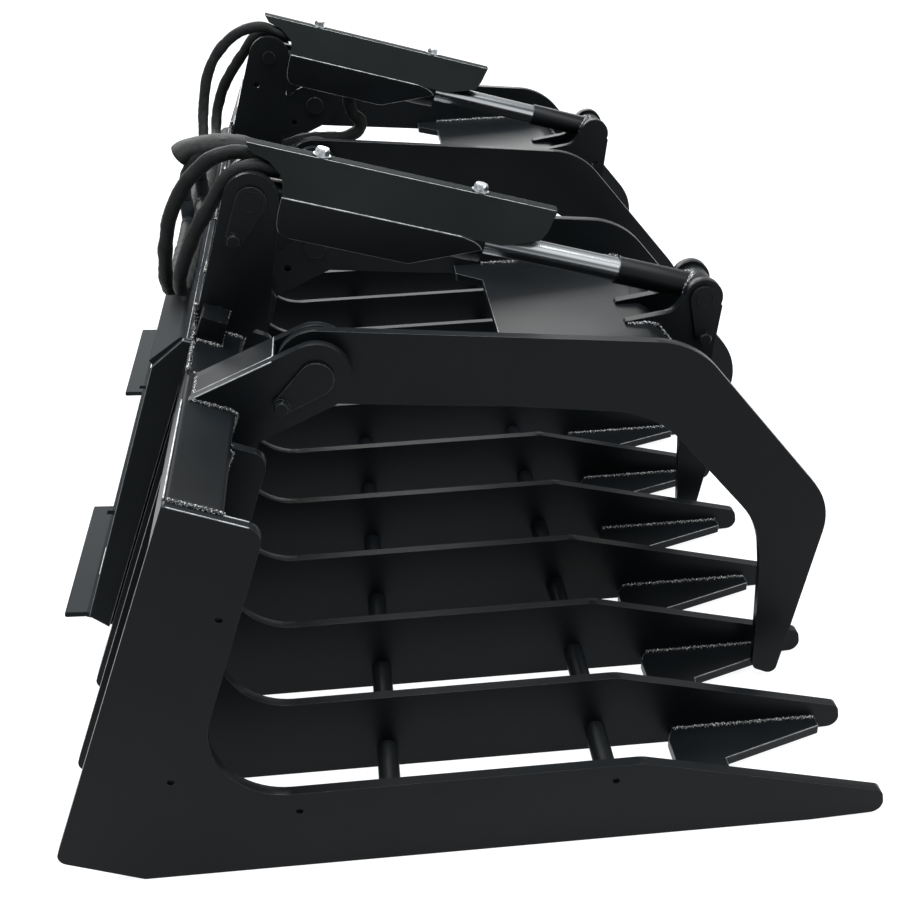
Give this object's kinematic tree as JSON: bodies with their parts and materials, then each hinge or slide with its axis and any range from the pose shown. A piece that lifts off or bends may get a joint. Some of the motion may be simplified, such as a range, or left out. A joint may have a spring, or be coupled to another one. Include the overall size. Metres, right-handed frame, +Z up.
{
  "type": "utility grapple",
  "caption": "Skeleton grapple for a loader: a row of plate tines with a rear attach plate, and hinged jaws above them driven by guarded hydraulic cylinders.",
  "frame": {"origin": "on the ground under the middle of the grapple's width and depth", "axes": "+X along the width, -Y forward, the way the tines point, +Z up"},
  "size_m": [2.1338, 1.2019, 0.855],
  "materials": {
    "black_coat": "satin powder coat",
    "pin_black": "satin powder coat over turned steel",
    "bolt_black": "coated with the frame",
    "chrome_rod": "hard chrome",
    "zinc_bolt": "zinc plated",
    "plated_fitting": "zinc-nickel plated",
    "hose": "black cover in a woven sleeve"
  },
  "bodies": {
    "frame": {"attach_flange": "black_coat", "attach_hook": "black_coat", "attach_plate": "black_coat", "cross_bar_front": "black_coat", "cross_bar_rear": "black_coat", "frame_pin_bolts": "bolt_black", "hinge_bracket_1": "black_coat", "hinge_bracket_2": "black_coat", "hinge_bracket_3": "black_coat", "hinge_bracket_4": "black_coat", "hinge_pins": "pin_black", "hose_left_base": "hose", "hose_left_front": "hose", "hose_right_base": "hose", "hose_right_front": "hose", "hose_tees": "plated_fitting", "quick_couplers": "plated_fitting", "spreader_plates": "black_coat", "supply_hose_base": "hose", "supply_hose_front": "hose", "tine_01": "black_coat", "tine_02": "black_coat", "tine_03": "black_coat", "tine_04": "black_coat", "tine_05": "black_coat", "tine_06": "black_coat", "tine_07": "black_coat", "tine_08": "black_coat", "tine_09": "black_coat", "tine_10": "black_coat", "tine_11": "black_coat", "tine_12": "black_coat", "top_tube": "black_coat", "tower_left": "black_coat", "tower_pins": "pin_black", "tower_right": "black_coat"},
    "jaw_left": {"jaw_left_arm_inner": "black_coat", "jaw_left_arm_outer": "black_coat", "jaw_left_clevis": "black_coat", "jaw_left_cross_plate": "black_coat", "jaw_left_flag_bolt": "bolt_black", "jaw_left_pin_flag": "pin_black"},
    "barrel_left": {"cylinder_left_barrel": "black_coat", "cylinder_left_guard": "black_coat", "cylinder_left_guard_bolts": "zinc_bolt"},
    "rod_left": {"cylinder_left_rod": "chrome_rod", "cylinder_left_rod_end": "black_coat", "cylinder_left_rod_pin": "pin_black"},
    "jaw_right": {"jaw_right_arm_inner": "black_coat", "jaw_right_arm_outer": "black_coat", "jaw_right_clevis": "black_coat", "jaw_right_cross_plate": "black_coat", "jaw_right_flag_bolt": "bolt_black", "jaw_right_pin_flag": "pin_black"},
    "barrel_right": {"cylinder_right_barrel": "black_coat", "cylinder_right_guard": "black_coat", "cylinder_right_guard_bolts": "zinc_bolt"},
    "rod_right": {"cylinder_right_rod": "chrome_rod", "cylinder_right_rod_end": "black_coat", "cylinder_right_rod_pin": "pin_black"}
  },
  "joints": [
    {"name": "jaw_left_hinge", "type": "hinge", "parent": "frame", "child": "jaw_left", "pos_m": [-0.47395, 0.1546, 0.604], "axis": [-1, 0, 0], "range_deg": [0, 50]},
    {"name": "barrel_left_swing", "type": "hinge", "parent": "frame", "child": "barrel_left", "pos_m": [-0.47395, 0.2356, 0.776], "axis": [-1, 0, 0], "range_deg": [0, 45], "deforming": ["hose_left_base", "hose_left_front"]},
    {"name": "rod_left_slide", "type": "slide", "parent": "barrel_left", "child": "rod_left", "axis": [0, -0.9598, -0.2806], "range_m": [-0.149, 0]},
    {"name": "jaw_right_hinge", "type": "hinge", "parent": "frame", "child": "jaw_right", "pos_m": [0.47395, 0.1546, 0.604], "axis": [-1, 0, 0], "range_deg": [0, 50]},
    {"name": "barrel_right_swing", "type": "hinge", "parent": "frame", "child": "barrel_right", "pos_m": [0.47395, 0.2356, 0.776], "axis": [-1, 0, 0], "range_deg": [0, 45], "deforming": ["hose_right_base", "hose_right_front"]},
    {"name": "rod_right_slide", "type": "slide", "parent": "barrel_right", "child": "rod_right", "axis": [0, -0.9598, -0.2806], "range_m": [-0.149, 0]}
  ],
  "couplings": [
    {"joint": "barrel_left_swing", "follows": "jaw_left_hinge", "ratio": 0.888},
    {"joint": "rod_left_slide", "follows": "jaw_left_hinge", "m_per_rad": -0.17},
    {"joint": "barrel_right_swing", "follows": "jaw_right_hinge", "ratio": 0.888},
    {"joint": "rod_right_slide", "follows": "jaw_right_hinge", "m_per_rad": -0.17}
  ]
}
